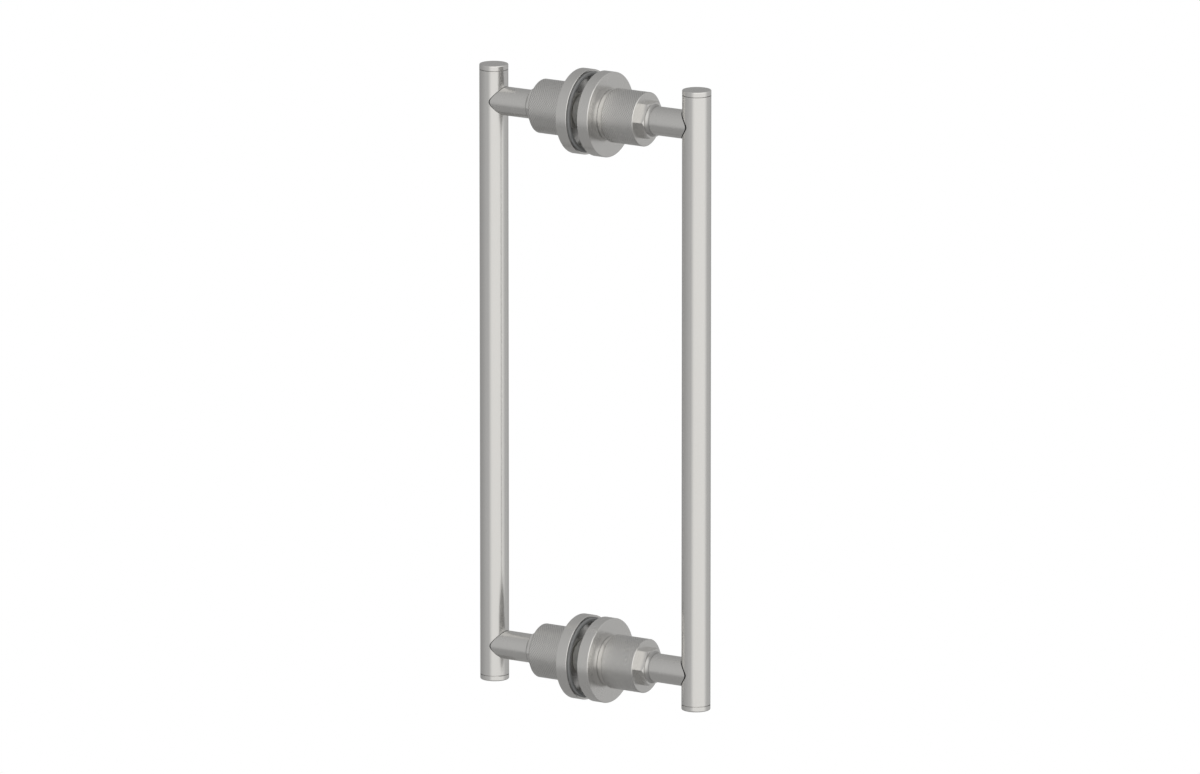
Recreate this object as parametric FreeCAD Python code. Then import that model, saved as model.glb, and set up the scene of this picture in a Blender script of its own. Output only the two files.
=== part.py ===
import FreeCAD, Part
import math
import os

# Back-to-back pull handle for a glass shower door.
# Frame: +Z up, +X along the glass, +Y through the glass to the back handle.
# The origin is the middle of the handle: halfway between the two fixings,
# in the middle of the glass. All sizes are in millimetres.

# Grip bars
bar_d = 15.9
bar_wall = 1.5
bar_overhang = 20.0
bar_end_break = 0.1

# End caps, pushed into the tube
cap_plate = 3.0
cap_edge_r = 0.6
cap_groove_width = 0.3
cap_groove_depth = 0.6
cap_spigot_length = 6.0
cap_spigot_gap = 0.05
cap_spigot_lead = 0.5

# Distance between the two fixings, and between the axes of the two bars
fixing_spacing = 305.0
bar_spacing = 131.8

# The glass and its soft seats
glass_gap = 5.0
gasket_d = 44.2
gasket_width = 2.3
gasket_thickness = 2.3
gasket_seat_depth = 1.2
gasket_edge_r = 0.8
gasket_side_gap = 0.2

# Base flange against the glass
flange_d = 46.9
flange_thickness = 6.8
flange_edge_r = 0.4
flange_inner_break = 0.2
relief_depth = 5.2
stem_d = 23.8
stem_length = 13.8
stem_lead = 0.8
stem_groove_width = 1.8
stem_groove_depth = 0.9

# Knurled barrel nut with its spanner hexagon
barrel_d = 29.8
barrel_length = 23.25
barrel_seam = 0.15
barrel_rim_break = 0.3
foot_cove_depth = 0.95
foot_cove_length = 3.3
barrel_thread_gap = 0.1
barrel_mouth_break = 0.7
hex_wall = 1.6
hex_height = 4.5
hex_chamfer_deg = 30.0
hex_face_share = 1.05
neck_gap = 0.06
neck_lip = 0.1
neck_wall = 1.1
neck_length = 1.9

# Post between the barrel nut and the bar
post_under_bar = 0.1
saddle_gap = 0.15
collar_lip = 2.8
collar_thickness = 4.0
collar_break = 0.4

# Stud through the glass, and the bush that keeps it off the glass
stud_d = 8.0
stud_recess = 3.0
stud_gap = 0.05
stud_end_break = 0.8
bush_d = 18.8
bush_end_gap = 0.1
bush_bore_gap = 0.15
bush_edge_break = 0.4

# Planes along the fixing's axis, counted from the middle of the glass
gasket_face = glass_gap / 2
flange_face = gasket_face + gasket_thickness - gasket_seat_depth
seat_floor = flange_face + gasket_seat_depth
relief_floor = flange_face + relief_depth
flange_back = flange_face + flange_thickness
stem_end = flange_back + stem_length
barrel_start = flange_back + barrel_seam
barrel_end = barrel_start + barrel_length
shoulder = stem_end + collar_thickness
hex_end = barrel_end + hex_height
bar_axis = bar_spacing / 2

# Radii that more than one piece needs
bar_r = bar_d / 2
bar_bore_r = bar_r - bar_wall
post_r = (bar_d - post_under_bar) / 2
collar_r = post_r + collar_lip
hex_flat_r = post_r + hex_wall
hex_face_r = hex_flat_r * hex_face_share
stem_r = stem_d / 2
barrel_r = barrel_d / 2
stud_r = stud_d / 2
stud_hole_r = stud_r + stud_gap
seat_r = gasket_d / 2 + gasket_side_gap
gasket_hole_r = gasket_d / 2 - gasket_width
relief_r = gasket_hole_r - gasket_side_gap

# Reach of the bars and of the studs
fixing_height = fixing_spacing / 2
bar_length = fixing_spacing + 2 * bar_overhang
stud_length = 2 * (stem_end - stud_recess)

# How near an edge lies to the plane it is picked by
tolerance = 1e-6

Y_AXIS = FreeCAD.Vector(0, 1, 0)
Z_AXIS = FreeCAD.Vector(0, 0, 1)


def point(r, y):
    """A point of a turned profile: r from the fixing's axis, y along it."""
    return FreeCAD.Vector(r, y, 0)


def turned(edges):
    """The solid that a closed profile sweeps round the fixing's axis."""
    face = Part.Face(Part.Wire(edges))
    return face.revolve(FreeCAD.Vector(0, 0, 0), Y_AXIS, 360)


def chain(*points):
    """Straight edges through the points, in order."""
    return [Part.makeLine(a, b) for a, b in zip(points, points[1:])]


def short_arc(start, end, centre):
    """The short arc from start to end about centre."""
    radius = (start - centre).Length
    middle = (start + end) * 0.5 - centre
    top = centre + middle * (radius / middle.Length)
    return Part.Arc(start, top, end).toShape()


def rod(radius, low, high):
    """A plain round bar along the fixing's axis."""
    return Part.makeCylinder(radius, high - low, FreeCAD.Vector(0, low, 0), Y_AXIS)


def base_flange():
    """Flange with the gasket seat, the stem for the nut and the stud's bore."""
    r = flange_d / 2
    outer_low = point(r, flange_face + flange_inner_break)
    outer_high = point(r, flange_back - flange_edge_r)
    face_rim = point(r - flange_edge_r, flange_back)
    edges = chain(
        point(stud_hole_r, relief_floor),
        point(relief_r, relief_floor),
        point(relief_r, seat_floor),
        point(seat_r, seat_floor),
        point(seat_r, flange_face),
        point(r - flange_inner_break, flange_face),
        outer_low,
        outer_high,
    )
    edges.append(short_arc(outer_high, face_rim, point(r - flange_edge_r, flange_back - flange_edge_r)))
    edges += chain(
        face_rim,
        point(stem_r - stem_groove_depth, flange_back),
        point(stem_r - stem_groove_depth, flange_back + stem_groove_width),
        point(stem_r, flange_back + stem_groove_width + stem_groove_depth),
        point(stem_r, stem_end - stem_lead),
        point(stem_r - stem_lead, stem_end),
        point(stud_hole_r, stem_end),
        point(stud_hole_r, relief_floor),
    )
    return turned(edges)


def gasket():
    """Soft ring between the flange and the glass, its crown rounded both ways."""
    inner = gasket_hole_r
    outer = gasket_d / 2
    crown = gasket_face + gasket_edge_r
    side_in = point(inner, crown)
    top_in = point(inner + gasket_edge_r, gasket_face)
    top_out = point(outer - gasket_edge_r, gasket_face)
    side_out = point(outer, crown)
    edges = [short_arc(side_in, top_in, point(inner + gasket_edge_r, crown))]
    edges += chain(top_in, top_out)
    edges.append(short_arc(top_out, side_out, point(outer - gasket_edge_r, crown)))
    edges += chain(side_out, point(outer, seat_floor), point(inner, seat_floor), side_in)
    return turned(edges)


def hexagon():
    """Spanner hexagon on the barrel's end, its corners turned off at an angle."""
    corner_r = hex_flat_r / math.cos(math.pi / 6)
    corners = [
        FreeCAD.Vector(
            corner_r * math.cos(math.pi / 3 * i), barrel_end, corner_r * math.sin(math.pi / 3 * i)
        )
        for i in range(6)
    ]
    prism = Part.Face(Part.makePolygon(corners + corners[:1])).extrude(Y_AXIS * hex_height)
    slope = math.tan(math.radians(hex_chamfer_deg))
    far_r = 2 * corner_r
    cone = turned(
        chain(
            point(0, barrel_end),
            point(far_r, barrel_end),
            point(far_r, hex_end - (far_r - hex_face_r) * slope),
            point(hex_face_r, hex_end),
            point(0, hex_end),
            point(0, barrel_end),
        )
    )
    return prism.common(cone)


def barrel_nut():
    """Barrel that draws the post's collar onto the stem, hexagon and all."""
    foot_r = barrel_r - foot_cove_depth
    foot = point(foot_r, barrel_start)
    foot_top = point(barrel_r, barrel_start + foot_cove_length)
    foot_arc_r = (foot_cove_depth**2 + foot_cove_length**2) / (2 * foot_cove_depth)
    edges = [short_arc(foot, foot_top, point(foot_r + foot_arc_r, barrel_start))]
    edges += chain(
        foot_top,
        point(barrel_r, barrel_end - barrel_rim_break),
        point(barrel_r - barrel_rim_break, barrel_end),
        point(0, barrel_end),
        point(0, barrel_start),
        foot,
    )
    bore_r = post_r + neck_gap
    lip_r = bore_r + neck_lip
    lip_top = hex_end + neck_length
    cove_width = post_r + neck_wall - lip_r
    cove_r = (cove_width**2 + neck_length**2) / (2 * cove_width)
    cove_foot = point(lip_r + cove_width, hex_end)
    cove_exit = point(lip_r, lip_top)
    neck = [short_arc(cove_foot, cove_exit, point(lip_r + cove_r, lip_top))]
    neck += chain(cove_exit, point(0, lip_top), point(0, hex_end), cove_foot)
    blank = turned(edges).fuse([hexagon(), turned(neck)])
    thread_r = stem_r + barrel_thread_gap
    thread_bore = turned(
        chain(
            point(0, barrel_start),
            point(thread_r + barrel_mouth_break, barrel_start),
            point(thread_r, barrel_start + barrel_mouth_break),
            point(thread_r, shoulder),
            point(0, shoulder),
            point(0, barrel_start),
        )
    )
    neck_bore = rod(bore_r, shoulder, lip_top)
    return blank.cut([thread_bore, neck_bore]).removeSplitter()


def post():
    """Post with the collar in the barrel, coped to sit on the round bar."""
    shaft = rod(post_r, shoulder, bar_axis)
    collar = turned(
        chain(
            point(0, stem_end),
            point(collar_r - collar_break, stem_end),
            point(collar_r, stem_end + collar_break),
            point(collar_r, shoulder - collar_break),
            point(collar_r - collar_break, shoulder),
            point(0, shoulder),
            point(0, stem_end),
        )
    )
    saddle = Part.makeCylinder(
        bar_r + saddle_gap, 4 * bar_d, FreeCAD.Vector(0, bar_axis, -2 * bar_d), Z_AXIS
    )
    return shaft.fuse(collar).cut(saddle).removeSplitter()


def stud():
    """Threaded stud that joins the two flanges through the glass."""
    half = stud_length / 2
    return turned(
        chain(
            point(0, -half),
            point(stud_r - stud_end_break, -half),
            point(stud_r, -half + stud_end_break),
            point(stud_r, half - stud_end_break),
            point(stud_r - stud_end_break, half),
            point(0, half),
            point(0, -half),
        )
    )


def bush():
    """Plastic bush round the stud, in the hole of the glass."""
    half = relief_floor - bush_end_gap
    inner = stud_r + bush_bore_gap
    outer = bush_d / 2
    return turned(
        chain(
            point(inner, -half),
            point(outer - bush_edge_break, -half),
            point(outer, -half + bush_edge_break),
            point(outer, half - bush_edge_break),
            point(outer - bush_edge_break, half),
            point(inner, half),
            point(inner, -half),
        )
    )


def bar():
    """Round tube of one handle, standing at x = 0, y = 0, without its caps."""
    half = bar_length / 2 - cap_plate
    low = FreeCAD.Vector(0, 0, -half)
    tube = Part.makeCylinder(bar_r, 2 * half, low, Z_AXIS)
    rims = [e for e in tube.Edges if abs(abs(e.CenterOfMass.z) - half) < tolerance]
    tube = tube.makeChamfer(bar_end_break, rims)
    return tube.cut(Part.makeCylinder(bar_bore_r, 2 * half, low, Z_AXIS))


def top_cap():
    """Flat cap on the upper end of a bar, with a groove at its foot and a spigot."""
    top = bar_length / 2
    seat = top - cap_plate
    rim_foot = seat + cap_groove_width
    plate = Part.makeCylinder(bar_r, top - rim_foot, FreeCAD.Vector(0, 0, rim_foot), Z_AXIS)
    upper = [e for e in plate.Edges if abs(e.CenterOfMass.z - top) < tolerance]
    plate = plate.makeFillet(cap_edge_r, upper)
    foot = Part.makeCylinder(
        bar_r - cap_groove_depth, cap_groove_width, FreeCAD.Vector(0, 0, seat), Z_AXIS
    )
    spigot_end = seat - cap_spigot_length
    spigot = Part.makeCylinder(
        bar_bore_r - cap_spigot_gap, cap_spigot_length, FreeCAD.Vector(0, 0, spigot_end), Z_AXIS
    )
    lead = [e for e in spigot.Edges if e.CenterOfMass.z < spigot_end + tolerance]
    spigot = spigot.makeChamfer(cap_spigot_lead, lead)
    return plate.fuse([foot, spigot]).removeSplitter()


def upside_down(shape):
    """The same piece at the other end: turned half round the X axis."""
    return shape.rotated(FreeCAD.Vector(0, 0, 0), FreeCAD.Vector(1, 0, 0), 180)


def to_front(shape):
    """The same piece on the front of the glass: turned half round the Z axis."""
    return shape.rotated(FreeCAD.Vector(0, 0, 0), Z_AXIS, 180)


def pieces():
    """Every piece of the handle, by name."""
    made = {}
    back_bar = bar().translated(FreeCAD.Vector(0, bar_axis, 0))
    cap = top_cap()
    for side, place in (("back", lambda s: s), ("front", to_front)):
        made[side + "_bar"] = place(back_bar)
        for end, turn in (("top", lambda s: s), ("bottom", upside_down)):
            moved = turn(cap).translated(FreeCAD.Vector(0, bar_axis, 0))
            made[side + "_bar_" + end + "_cap"] = place(moved)
    one_side = {
        "base_flange": base_flange(),
        "gasket": gasket(),
        "barrel_nut": barrel_nut(),
        "post": post(),
    }
    for level, height in (("upper", fixing_height), ("lower", -fixing_height)):
        lift = FreeCAD.Vector(0, 0, height)
        for name, shape in one_side.items():
            made["back_" + level + "_" + name] = shape.translated(lift)
            made["front_" + level + "_" + name] = to_front(shape).translated(lift)
        made[level + "_through_stud"] = stud().translated(lift)
        made[level + "_glass_bush"] = bush().translated(lift)
    return made


os.makedirs("parts", exist_ok=True)
for name, shape in pieces().items():
    shape.exportStep("parts/" + name + ".step")
    print(name, "volume", round(shape.Volume, 2), "solids", len(shape.Solids), shape.isValid())
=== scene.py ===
# %% [markdown]
# # A shower door handle in satin nickel
#
# The object is a back-to-back pull handle. Two round bars stand on either side
# of a glass door. Each bar is carried by two posts, each post is held by a
# knurled barrel nut, and each nut sits on a flat flange that clamps the glass
# through a soft gasket.
#
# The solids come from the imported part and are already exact. This lesson gives
# them their surfaces: the knurl as real geometry, the metal, rubber and plastic
# as procedural materials, and a studio for the metal to mirror.

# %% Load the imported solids
import math

import bmesh
import bpy
from mathutils import Matrix, Vector


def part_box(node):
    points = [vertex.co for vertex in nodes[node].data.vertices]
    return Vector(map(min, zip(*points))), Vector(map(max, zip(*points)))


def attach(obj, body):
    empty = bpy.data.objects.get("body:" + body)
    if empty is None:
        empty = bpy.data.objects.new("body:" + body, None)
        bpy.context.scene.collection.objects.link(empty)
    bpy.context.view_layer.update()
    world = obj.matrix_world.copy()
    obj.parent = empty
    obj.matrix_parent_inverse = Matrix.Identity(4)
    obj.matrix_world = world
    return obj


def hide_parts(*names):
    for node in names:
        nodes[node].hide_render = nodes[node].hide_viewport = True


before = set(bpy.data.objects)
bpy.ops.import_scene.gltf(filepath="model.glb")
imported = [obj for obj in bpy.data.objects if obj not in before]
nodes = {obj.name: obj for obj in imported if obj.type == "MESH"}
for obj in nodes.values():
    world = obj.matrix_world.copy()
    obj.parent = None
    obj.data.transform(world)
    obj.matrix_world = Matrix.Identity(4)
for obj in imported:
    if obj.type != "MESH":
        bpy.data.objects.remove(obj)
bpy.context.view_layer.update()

MM = 0.001
print("solids", len(nodes))

# %% [markdown]
# ## Where the handle's own axes are
#
# Everything below needs two axes: the fixings, which run along Y at one height
# above and one below the middle, and the bars, which stand along Z in front of
# and behind the glass. Both are read from the solids, so nothing is typed twice.

# %% Read the axes from the solids
def middle_of(node):
    """Middle of a solid's box, in metres."""
    low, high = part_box(node)
    return (low + high) / 2


fixing_height = middle_of("back_upper_barrel_nut").z
bar_distance = middle_of("back_bar").y
barrel_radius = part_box("back_upper_barrel_nut")[1].x
print("fixings at z", round(fixing_height / MM, 2), "bars at y", round(bar_distance / MM, 2))

# %% [markdown]
# ## The camera
#
# The picture was taken from far away with a long lens, so the two bars are
# almost the same size. The angle, distance and lens were found by fitting the
# outlines of the bars, caps, posts and flanges, with the bar's diameter as the
# ruler. A camera is easiest to set by the point it looks at and the direction
# back to it, because then each number means one thing.

# %% Place the camera
camera_azimuth = math.radians(-56.80)
camera_elevation = math.radians(12.525)
camera_distance = 8.557
camera_lens = 470.37
camera_sensor = 36.0
camera_near = 0.5
camera_far = 60.0
looked_at = Vector((1.47, -2.38, -0.34)) * MM

to_camera = Vector(
    (
        math.sin(camera_azimuth) * math.cos(camera_elevation),
        -math.cos(camera_azimuth) * math.cos(camera_elevation),
        math.sin(camera_elevation),
    )
)
camera_data = bpy.data.cameras.new("studio_camera")
camera_data.sensor_fit = "HORIZONTAL"
camera_data.sensor_width = camera_sensor
camera_data.lens = camera_lens
camera_data.clip_start = camera_near
camera_data.clip_end = camera_far
camera = bpy.data.objects.new("studio_camera", camera_data)
camera.location = looked_at + to_camera * camera_distance
camera.rotation_mode = "QUATERNION"
camera.rotation_quaternion = (-to_camera).to_track_quat("-Z", "Y")
bpy.context.scene.collection.objects.link(camera)
bpy.context.scene.camera = camera
print("camera at", [round(c, 3) for c in camera.location])

# %% [markdown]
# ## Node trees as arithmetic
#
# A material is a small calculation for each point of a surface. Written with
# Python's own operators it reads like one. `Wire` is the value that leaves a
# socket: adding or multiplying two wires adds a Math node. `Bench` is one node
# tree, and its method `node` makes every other kind of node.

# %% Wire and Bench
class Wire:
    """The value that leaves a socket; arithmetic on it adds Math nodes."""

    def __init__(self, bench, socket):
        self.bench = bench
        self.socket = socket

    def math(self, operation, *others):
        """A Math node with this value first."""
        inputs = dict(enumerate((self, *others)))
        return self.bench.node("ShaderNodeMath", {"operation": operation}, inputs)

    def __add__(self, other):
        return self.math("ADD", other)

    def __radd__(self, other):
        return self.math("ADD", other)

    def __sub__(self, other):
        return self.math("SUBTRACT", other)

    def __rsub__(self, other):
        return self.math("MULTIPLY_ADD", -1.0, other)

    def __mul__(self, other):
        return self.math("MULTIPLY", other)

    def __rmul__(self, other):
        return self.math("MULTIPLY", other)

    def __pow__(self, power):
        return self.math("POWER", power)

    def rise(self, low, high):
        """0 below low, 1 above high, and a smooth step between them."""
        span = {"From Min": low, "From Max": high, "Value": self}
        return self.bench.node("ShaderNodeMapRange", {"interpolation_type": "SMOOTHSTEP"}, span)


class Bench:
    """One node tree, and the one way in which nodes are added to it."""

    def __init__(self, tree):
        self.tree = tree
        tree.nodes.clear()

    def node(self, kind, settings=None, inputs=None, output=0):
        """Adds a node with its settings and inputs, and gives one of its outputs."""
        made = self.tree.nodes.new(kind)
        for name, value in (settings or {}).items():
            setattr(made, name, value)
        for name, value in (inputs or {}).items():
            if isinstance(value, Wire):
                self.tree.links.new(value.socket, made.inputs[name])
            else:
                made.inputs[name].default_value = value
        return Wire(self, made.outputs[output]) if made.outputs else None

    def mix(self, share, first, second):
        """A colour between first and second."""
        # Mix keeps a set of sockets for each data type; these are its colours.
        inputs = {0: share, 6: first, 7: second}
        return self.node("ShaderNodeMix", {"data_type": "RGBA"}, inputs, output=2)

    def vector(self, x, y, z):
        """Three numbers as one vector."""
        return self.node("ShaderNodeCombineXYZ", None, {0: x, 1: y, 2: z})

    def parts(self, vector):
        """The three numbers of a vector."""
        made = self.node("ShaderNodeSeparateXYZ", None, {0: vector})
        return [Wire(self, socket) for socket in made.socket.node.outputs]


def grey(value, warmth=0.0):
    """A neutral colour, with its blue taken down by warmth."""
    return (value, value * (1 - warmth / 3), value * (1 - warmth), 1.0)


print("a warm grey", [round(share, 3) for share in grey(0.5, 0.03)])

# %% [markdown]
# ## The studio that the metal mirrors
#
# Polished metal has hardly any colour of its own: it shows the room. The bars
# mirror a ring of the room just under the horizon, so the bright stripe on them
# is one wide soft box, from the left of the camera round to the front. Beside
# it are plain walls, the far right corner is the darkest, and the ground is
# darker than the walls.
#
# Azimuths are counted from the front, positive to the right, and elevations
# from the horizon. An edge is a pair of angles, from where it starts to fade to
# where it ends.

# %% Measure out the studio
wall_level = 0.575
far_corner_drop = 0.22
far_corner_azimuth = math.radians(148)
ground_level = 0.31
ground_edge = math.radians(-34), math.radians(-8)
softbox_left_edge = math.radians(-105), math.radians(-74)
softbox_right_edge = math.radians(6), math.radians(40)
softbox_low_edge = math.radians(-34), math.radians(-16)
softbox_high_edge = math.radians(48), math.radians(66)
softbox_low_level = 0.455
softbox_more_above = 0.25
softbox_more_from = math.radians(-10), math.radians(14)
backdrop_edge = math.cos(math.radians(8)), math.cos(math.radians(4))
wall_warmth = 0.01
softbox_warmth = 0.03
far_corner = (math.sin(far_corner_azimuth), -math.cos(far_corner_azimuth), 0.0)
print("levels: wall", wall_level, "ground", ground_level, "soft box", wall_level + softbox_low_level)

# %% [markdown]
# ## A world as a function of direction
#
# The studio could be built from lamps and cards. A world shader is simpler here:
# it works out a level from the direction alone, it has no noise, and each mask
# is one thing that stood in the studio. The camera itself sees a white backdrop,
# and so does metal where it mirrors the place right behind the handle.

# %% Light the studio
world = bpy.data.worlds.new("studio")
bpy.context.scene.world = world
world.use_nodes = True
room = Bench(world.node_tree)
direction = room.node("ShaderNodeTexCoord", output="Generated")
x, y, z = room.parts(direction)
azimuth = x.math("ARCTAN2", y * -1.0)
elevation = z.math("ARCSINE")


def towards(way):
    """Cosine of the angle between the direction and a way."""
    dot = {"operation": "DOT_PRODUCT"}
    return room.node("ShaderNodeVectorMath", dot, {0: direction, 1: way}, output="Value")


def ray_is(kind):
    """1 for rays of a kind, 0 for the others."""
    return room.node("ShaderNodeLightPath", output=kind)


wall = wall_level - far_corner_drop * towards(far_corner).math("MAXIMUM", 0.0)
above_ground = elevation.rise(*ground_edge)
surroundings = above_ground * wall + (1 - above_ground) * ground_level

softbox = azimuth.rise(*softbox_left_edge) * (1 - azimuth.rise(*softbox_right_edge))
softbox = softbox * elevation.rise(*softbox_low_edge) * (1 - elevation.rise(*softbox_high_edge))
softbox_level = softbox_low_level + softbox_more_above * elevation.rise(*softbox_more_from)
level = surroundings + softbox * softbox_level
tint = room.mix(softbox, grey(1.0, wall_warmth), grey(1.0, softbox_warmth))

mirrors = ray_is("Is Glossy Ray").math("MAXIMUM", ray_is("Is Transmission Ray"))
mirrors_backdrop = mirrors * towards(-to_camera).rise(*backdrop_edge)
sees_white = ray_is("Is Camera Ray").math("MAXIMUM", mirrors_backdrop)

lit = room.node("ShaderNodeBackground", None, {"Color": tint, "Strength": level})
white = room.node("ShaderNodeBackground", None, {"Color": grey(1.0), "Strength": 1.0})
shown = room.node("ShaderNodeMixShader", None, {0: sees_white, 1: lit, 2: white})
room.node("ShaderNodeOutputWorld", None, {"Surface": shown})
bpy.context.scene.view_settings.view_transform = "Standard"
print("world nodes", len(room.tree.nodes))

# %% [markdown]
# ## The floor
#
# On a door the handle hangs about a metre above the floor. At that height the
# floor is out of the picture, and its shadow would be too soft to see, but the
# metal mirrors it from below. It is a pale round disc, white to the camera.

# %% Lay the floor
floor_drop = 1.0
floor_radius = 2.0
floor_segments = 96
floor_pale = 0.5
floor_roughness = 0.9


def new_material(name):
    """A material with an empty node tree, and its bench."""
    material = bpy.data.materials.new(name)
    material.use_nodes = True
    return material, Bench(material.node_tree)


def link_mesh(bm, name, material):
    """Turns a finished bmesh into an object at the origin."""
    mesh = bpy.data.meshes.new(name)
    bm.to_mesh(mesh)
    bm.free()
    mesh.materials.append(material)
    made = bpy.data.objects.new(name, mesh)
    bpy.context.scene.collection.objects.link(made)
    return made


floor_paint, paint = new_material("floor_paint")
pale = {"Base Color": grey(floor_pale), "Roughness": floor_roughness}
matt = paint.node("ShaderNodeBsdfPrincipled", None, pale)
glow = paint.node("ShaderNodeEmission", None, {"Color": grey(1.0), "Strength": 1.0})
camera_ray = paint.node("ShaderNodeLightPath", output="Is Camera Ray")
shown = paint.node("ShaderNodeMixShader", None, {0: camera_ray, 1: matt, 2: glow})
paint.node("ShaderNodeOutputMaterial", None, {"Surface": shown})

bm = bmesh.new()
disc = Matrix.Translation((0, 0, -floor_drop))
bmesh.ops.create_circle(bm, cap_ends=True, segments=floor_segments, radius=floor_radius, matrix=disc)
floor = link_mesh(bm, "studio_floor", floor_paint)
print("floor", floor_drop, "m under the middle of the handle")

# %% [markdown]
# ## Satin nickel
#
# Nickel plate, polished until it mirrors, with the last trace of the polishing
# belt left in it. Three things make it: a slightly warm grey reflectance, a low
# roughness that drifts a little from place to place, and very fine lines in the
# direction in which the piece was polished. The lines are a noise texture that
# is stretched along that direction. They are microns deep, so they show only
# near to, where they break up the edges of the mirrored light.
#
# The direction differs. A bar is polished along its length. Posts, flanges and
# nuts are turned, so their lines run round the fixing's axis, and a cap is
# faced, so its lines run round the bar's axis. Each grain below is therefore a
# different vector made from Object coordinates.

# %% Grains of the metal
def object_point(bench):
    """Object coordinates of the point, as one vector."""
    return bench.node("ShaderNodeTexCoord", output="Object")


def place(bench):
    """Object coordinates of the point, as three numbers."""
    return bench.parts(object_point(bench))


def length_of(a, b):
    """How long the vector (a, b) is."""
    return (a * a + b * b) ** 0.5


line_stretch = 0.01


def along_bar(bench):
    """Lines along Z, for the bars."""
    x, y, z = place(bench)
    return bench.vector(x, y, z * line_stretch)


def round_fixing(bench):
    """Lines round the nearer fixing's axis, for turned pieces."""
    x, y, z = place(bench)
    height = z.math("ABSOLUTE") - fixing_height
    return bench.vector(length_of(x, height), y, 0.0)


def round_bar(bench):
    """Lines round the nearer bar's axis, for the caps."""
    x, y, z = place(bench)
    out = y.math("ABSOLUTE") - bar_distance
    return bench.vector(length_of(x, out), z, 0.0)


print("a line on a bar is", round(1 / line_stretch), "times as long as it is wide")

# %% [markdown]
# ## Where shade is painted on the nickel
#
# The joint between post and bar, the seam under each cap, the grooves of the
# knurl and the small cove at the nut's neck are painted darker. This is painted
# shade: it stands in for the shadow in these narrow places, and in the cove it
# also dims the mirrored highlight. Each mask is worked out from the distance to
# the narrow place: it is 0 away from it, and at it as high as the painted shade
# is deep.

# %% Masks of painted shade in the narrow places
bar_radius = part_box("back_bar")[1].x
seam_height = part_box("back_bar")[1].z
joint_width = 0.30 * MM
seam_width = 0.12 * MM
hair = 0.08 * MM
# How dark the shade is painted at the cap seam.
seam_shade_strength = 0.5
knurl_depth = 0.05 * MM
knurl_bottom = barrel_radius - knurl_depth
groove_fade = 0.2 * knurl_depth
below_groove = knurl_bottom - 3 * groove_fade, knurl_bottom - groove_fade
groove_side = knurl_bottom, barrel_radius - groove_fade
# How dark the shade is painted in the knurl's grooves.
groove_shade_strength = 0.9
neck_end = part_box("back_upper_barrel_nut")[1].y
neck_length = 1.9 * MM
# How dark the shade is painted in the neck cove, to dim its highlight.
neck_shade_strength = 0.28


def shade_at_bar_joint(bench):
    """Painted shade: a dark hairline on the post, along the bar's round wall."""
    x, y, z = place(bench)
    out = length_of(x, y.math("ABSOLUTE") - bar_distance) - bar_radius
    return 1 - out.rise(joint_width, joint_width + hair)


def shade_at_cap_seam(bench):
    """Painted shade: a dark hairline on the bar, just under the cap's groove."""
    x, y, z = place(bench)
    below = seam_height - z.math("ABSOLUTE")
    return seam_shade_strength * (1 - below.math("ABSOLUTE").rise(seam_width, seam_width + hair))


def shade_in_groove(bench):
    """Painted shade in the grooves of the knurl, darkest at their bottom."""
    x, y, z = place(bench)
    radius = length_of(x, z.math("ABSOLUTE") - fixing_height)
    return groove_shade_strength * radius.rise(*below_groove) * (1 - radius.rise(*groove_side))


def shade_in_neck_cove(bench):
    """Painted shade in the cove between the nut's hexagon and the post, which dims its highlight."""
    x, y, z = place(bench)
    before_end = neck_end - y.math("ABSOLUTE")
    return neck_shade_strength * (1 - before_end.rise(neck_length - hair, neck_length))


def shade_on_nut(bench):
    """All the painted shade on a barrel nut."""
    return shade_in_groove(bench) + shade_in_neck_cove(bench)


print("seams at z", round(seam_height / MM, 2), "necks end at y", round(neck_end / MM, 2))

# %% [markdown]
# ## One recipe for every piece of nickel
#
# The pieces differ only in their grain, in how finely they were polished and in
# where shade is painted on them, so one function mixes them all. A photo of real
# brushed metal could be wrapped round each piece instead, but noise needs no
# unwrapping and stays sharp at any distance.

# %% Mix the nickel
# Painted shade mixes the nickel's colour towards this dark grey and adds roughness.
painted_shade_reflectance = 0.06
shade_roughness_gain = 0.25
nickel_reflectance = 0.70
nickel_warmth = 0.03
reflectance_drift = 0.015
line_pitch = 0.06 * MM
line_height = 0.00006 * MM
line_detail = 3.0
line_share = 0.4
patch_size = 9 * MM
patch_detail = 2.0
drawn_roughness = 0.24
turned_roughness = 0.27


def noise(bench, vector, size, detail):
    """Noise of 0 to 1 whose spots are about as large as size."""
    return bench.node("ShaderNodeTexNoise", None, {"Vector": vector, "Scale": 1 / size, "Detail": detail})


def nickel(name, grain, roughness, drift=0.02, lines=1.0, painted_shade=None):
    """Plated nickel with polishing lines along a grain, and painted shade where the mask says."""
    material, bench = new_material(name)
    line = noise(bench, grain(bench), line_pitch, line_detail)
    patch = noise(bench, object_point(bench), patch_size, patch_detail)
    worn = patch * (1 - line_share) + line * line_share
    low = grey(nickel_reflectance * (1 - reflectance_drift), nickel_warmth)
    high = grey(nickel_reflectance * (1 + reflectance_drift), nickel_warmth)
    colour = bench.mix(worn, low, high)
    rough = roughness - drift + 2 * drift * worn
    # Painted shade: the mask darkens the colour towards the dark grey and makes the surface rougher.
    if painted_shade:
        share = painted_shade(bench)
        colour = bench.mix(share, colour, grey(painted_shade_reflectance))
        rough = rough + share * shade_roughness_gain
    relief = {"Strength": 1.0, "Distance": line_height * lines, "Height": line}
    surface = {
        "Base Color": colour,
        "Metallic": 1.0,
        "Roughness": rough,
        "Normal": bench.node("ShaderNodeBump", None, relief),
    }
    metal = bench.node("ShaderNodeBsdfPrincipled", None, surface)
    bench.node("ShaderNodeOutputMaterial", None, {"Surface": metal})
    return material


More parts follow.
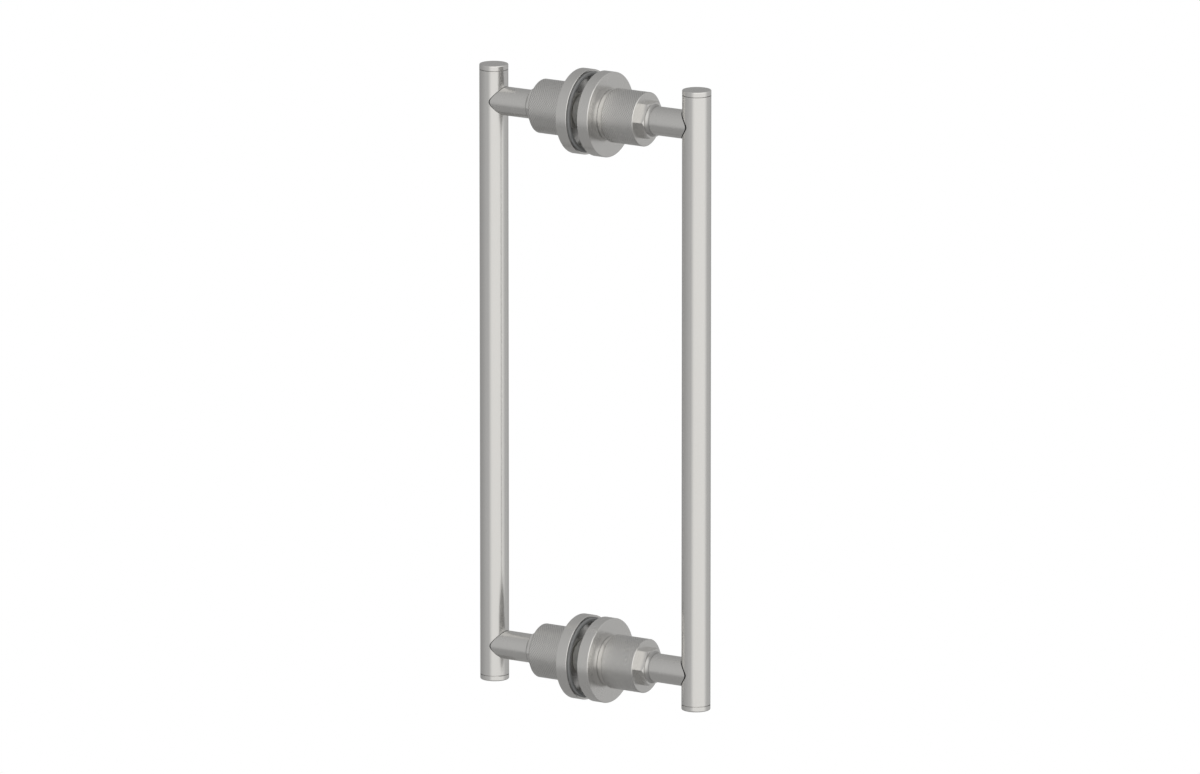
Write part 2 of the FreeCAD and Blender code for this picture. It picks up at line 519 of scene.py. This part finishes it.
# The bars get painted shade under the caps, the posts along the joint with the bar, and the nuts in their
# grooves and neck cove.
drawn_nickel = nickel("satin_nickel_drawn", along_bar, drawn_roughness, painted_shade=shade_at_cap_seam)
faced_nickel = nickel("satin_nickel_faced", round_bar, drawn_roughness)
post_nickel = nickel("satin_nickel_post", round_fixing, turned_roughness, painted_shade=shade_at_bar_joint)
turned_nickel = nickel("satin_nickel_turned", round_fixing, turned_roughness)
knurl_nickel = nickel("satin_nickel_knurled", round_fixing, turned_roughness, painted_shade=shade_on_nut)
print("nickel mixed for the knurl has", len(knurl_nickel.node_tree.nodes), "nodes")

# %% [markdown]
# ## Gasket, bush and stud
#
# The gasket is a soft grey elastomer: no mirror at all, a fine pebbled grain and
# a little dust-dull drift. The bush is turned nylon, smoother and paler. The
# stud is plain zinc-plated steel that nobody sees once the handle is mounted.

# %% Mix rubber, nylon and steel
grain_detail = 4.0
cloud_detail = 2.0
clouds_per_grain = 0.12
pale_drift = 0.1
roughness_drift = 0.06


def soft_finish(name, pale, roughness, grain_size, grain_height, tone):
    """A matt moulded surface with a pebbled grain."""
    material, bench = new_material(name)
    spot = object_point(bench)
    grain = noise(bench, spot, grain_size, grain_detail)
    cloud = noise(bench, spot, grain_size / clouds_per_grain, cloud_detail)
    low = [pale * (1 - pale_drift) * share for share in tone] + [1.0]
    high = [pale * (1 + pale_drift) * share for share in tone] + [1.0]
    relief = {"Strength": 1.0, "Distance": grain_height, "Height": grain}
    surface = {
        "Base Color": bench.mix(cloud, low, high),
        "Roughness": roughness - roughness_drift + 2 * roughness_drift * grain,
        "Normal": bench.node("ShaderNodeBump", None, relief),
    }
    skin = bench.node("ShaderNodeBsdfPrincipled", None, surface)
    bench.node("ShaderNodeOutputMaterial", None, {"Surface": skin})
    return material


gasket_rubber = soft_finish(
    "gasket_rubber",
    pale=0.24,
    roughness=0.62,
    grain_size=0.25 * MM,
    grain_height=0.01 * MM,
    tone=(0.98, 1.0, 1.01),
)
bush_nylon = soft_finish(
    "turned_nylon",
    pale=0.80,
    roughness=0.45,
    grain_size=0.4 * MM,
    grain_height=0.004 * MM,
    tone=(1.0, 1.0, 0.97),
)
stud_steel = nickel("zinc_plated_steel", round_fixing, roughness=0.28, drift=0.05, lines=3.0)
print("new finishes", gasket_rubber.name, bush_nylon.name, stud_steel.name)

# %% [markdown]
# ## Dress the solids
#
# A solid whose shape is right stays as it is and only gets its finish. Each of
# the solids could be given its material by hand, but their names already say
# what they are, so a table goes from the last words of a name to the material.

# %% Give each solid its finish
finish_by_ending = {
    "_bar": drawn_nickel,
    "_cap": faced_nickel,
    "_post": post_nickel,
    "_base_flange": turned_nickel,
    "_barrel_nut": knurl_nickel,
    "_gasket": gasket_rubber,
    "_glass_bush": bush_nylon,
    "_through_stud": stud_steel,
}
for name, solid in nodes.items():
    endings = [ending for ending in finish_by_ending if name.endswith(ending)]
    solid.data.materials.clear()
    solid.data.materials.append(finish_by_ending[endings[0]])
print("dressed", len(nodes), "solids")

# %% [markdown]
# ## The knurl
#
# The barrel nuts are tightened by hand, so they are knurled: two wheels press a
# net of crossing grooves into the turned barrel, and diamonds are left between
# them. Counted on the photo, 48 diamonds go round a barrel and 14 along it. A
# bump texture would give the grain but not the steps on the outline, so the net
# is modelled.
#
# One line along the barrel is cut into short edges and spun into a sleeve of
# cells. Poking each cell adds its middle, and dissolving the old edges then
# leaves diamonds that stand on their points, which is the net that two crossing
# grooves cut. Each diamond is inset, and the inset face is its top. A number on
# every vertex says how far it rises: 0 in a groove and 1 on a top. The level
# edges are then cut finer, the new vertices take the number between, and all of
# them move to the radius that their number asks for, so that the tops follow
# the round barrel. The sleeve replaces the smooth wall of a welded copy of the
# solid, and two bridges close it.

# %% Weld a copy of the smooth nut
knurl_columns = 48
knurl_rows = 14
groove_half_width = 0.12 * MM
top_cuts = 2
weld_distance = 0.0002 * MM
wall_tolerance = 0.01 * MM


def radius_of(vert):
    """Distance of a vertex from the upper fixing's axis."""
    return math.hypot(vert.co.x, vert.co.z - fixing_height)


def smooth_nut_without_wall():
    """The upper back nut, welded, with its outer wall taken away."""
    bm = bmesh.new()
    bm.from_mesh(nodes["back_upper_barrel_nut"].data)
    bmesh.ops.remove_doubles(bm, verts=bm.verts, dist=weld_distance)
    outside = barrel_radius - wall_tolerance
    wall = [face for face in bm.faces if all(radius_of(v) > outside for v in face.verts)]
    ends = sorted(v.co.y for face in wall for v in face.verts)
    bmesh.ops.delete(bm, geom=wall, context="FACES")
    return bm, ends[0], ends[-1]


nut_body, knurl_start, knurl_end = smooth_nut_without_wall()
print("knurl from y", round(knurl_start / MM, 2), "to", round(knurl_end / MM, 2), "mm")

# %% [markdown]
# ## Press the net
#
# A knurl can also be built from two sets of helical cuts, but cuts on a mesh
# leave long thin triangles. Diamonds that are shaped one by one stay even, and
# the whole net needs only six calls of bmesh operators.

# %% Make the sleeve of diamonds
def to_radius(vert, radius):
    """Moves a vertex straight out or in to a radius round the fixing."""
    push = radius / radius_of(vert)
    vert.co.x *= push
    vert.co.z = fixing_height + (vert.co.z - fixing_height) * push


def knurled_sleeve(start, end):
    """A sleeve of raised diamonds round the upper back fixing."""
    bm = bmesh.new()
    low = bm.verts.new((knurl_bottom, start, fixing_height))
    high = bm.verts.new((knurl_bottom, end, fixing_height))
    line = bm.edges.new((low, high))
    bmesh.ops.subdivide_edges(bm, edges=[line], cuts=knurl_rows - 1)
    bmesh.ops.spin(
        bm,
        geom=bm.verts[:] + bm.edges[:],
        cent=(0, 0, fixing_height),
        axis=(0, 1, 0),
        angle=math.tau,
        steps=knurl_columns,
        use_merge=True,
    )
    old_edges = [edge for edge in bm.edges if len(edge.link_faces) == 2]
    for vert in bmesh.ops.poke(bm, faces=bm.faces)["verts"]:
        to_radius(vert, knurl_bottom)
    bmesh.ops.dissolve_edges(bm, edges=old_edges, use_verts=False, use_face_split=False)
    print("knurl", len(bm.faces), "diamonds and half diamonds")
    rise = bm.verts.layers.float.new("rise")
    tops = bm.faces[:]
    bmesh.ops.inset_individual(bm, faces=tops, thickness=groove_half_width, use_even_offset=True)
    for vert in {v for face in tops for v in face.verts}:
        vert[rise] = 1.0
    level_edges = [e for e in bm.edges if e.verts[0][rise] == e.verts[1][rise]]
    bmesh.ops.subdivide_edges(bm, edges=level_edges, cuts=top_cuts, use_grid_fill=True)
    for vert in bm.verts:
        to_radius(vert, knurl_bottom + knurl_depth * vert[rise])
    return bm


sleeve = knurled_sleeve(knurl_start, knurl_end)
outermost = max(radius_of(vert) for vert in sleeve.verts)
print("sleeve faces", len(sleeve.faces), "outermost mm", round(outermost / MM, 4))

# %% [markdown]
# ## Join the sleeve to the nut
#
# The two meshes go into one bmesh. At each end of the knurl the nut and the
# sleeve both have an open loop, and a bridge between them makes the narrow ring
# where the knurling wheel ran out. A boolean would also join them, but it would
# cut the diamonds that it meets, and a bridge touches none.

# %% Bridge and smooth
crease = math.radians(24)
rim_tolerance = 0.02 * MM


def knurled_nut(body, sleeve):
    """The nut and its sleeve as one closed bmesh."""
    carrier = bpy.data.meshes.new("sleeve_carrier")
    sleeve.to_mesh(carrier)
    sleeve.free()
    body.from_mesh(carrier)
    bpy.data.meshes.remove(carrier)
    for end in (knurl_start, knurl_end):
        rim = [
            edge
            for edge in body.edges
            if edge.is_boundary and all(abs(vert.co.y - end) < rim_tolerance for vert in edge.verts)
        ]
        bmesh.ops.bridge_loops(body, edges=rim)
    bmesh.ops.recalc_face_normals(body, faces=body.faces)
    for face in body.faces:
        face.smooth = True
    for edge in body.edges:
        edge.smooth = edge.calc_face_angle(0.0) < crease
    return body


nut = knurled_nut(nut_body, sleeve)
print("open edges", sum(e.is_boundary for e in nut.edges), "faces", len(nut.faces))

# %% [markdown]
# ## Four nuts
#
# The nut is the same in all four places, so it is copied. The lower nuts are the
# upper ones moved straight down, and the front ones are turned half round the Z
# axis, as the whole front handle is. A mirror would also fit, but it would turn
# the faces inside out.

# %% Place the nuts
for side, turn in (("back", 0.0), ("front", math.pi)):
    for level, drop in (("upper", 0.0), ("lower", -2 * fixing_height)):
        node = side + "_" + level + "_barrel_nut"
        placed = nut.copy()
        move = Matrix.Translation((0, 0, drop)) @ Matrix.Rotation(turn, 4, "Z")
        bmesh.ops.transform(placed, matrix=move, verts=placed.verts)
        piece = link_mesh(placed, side + "_" + level + "_knurled_nut", knurl_nickel)
        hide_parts(node)
        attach(piece, "root")
        print(piece.name, len(piece.data.polygons), "faces")
nut.free()
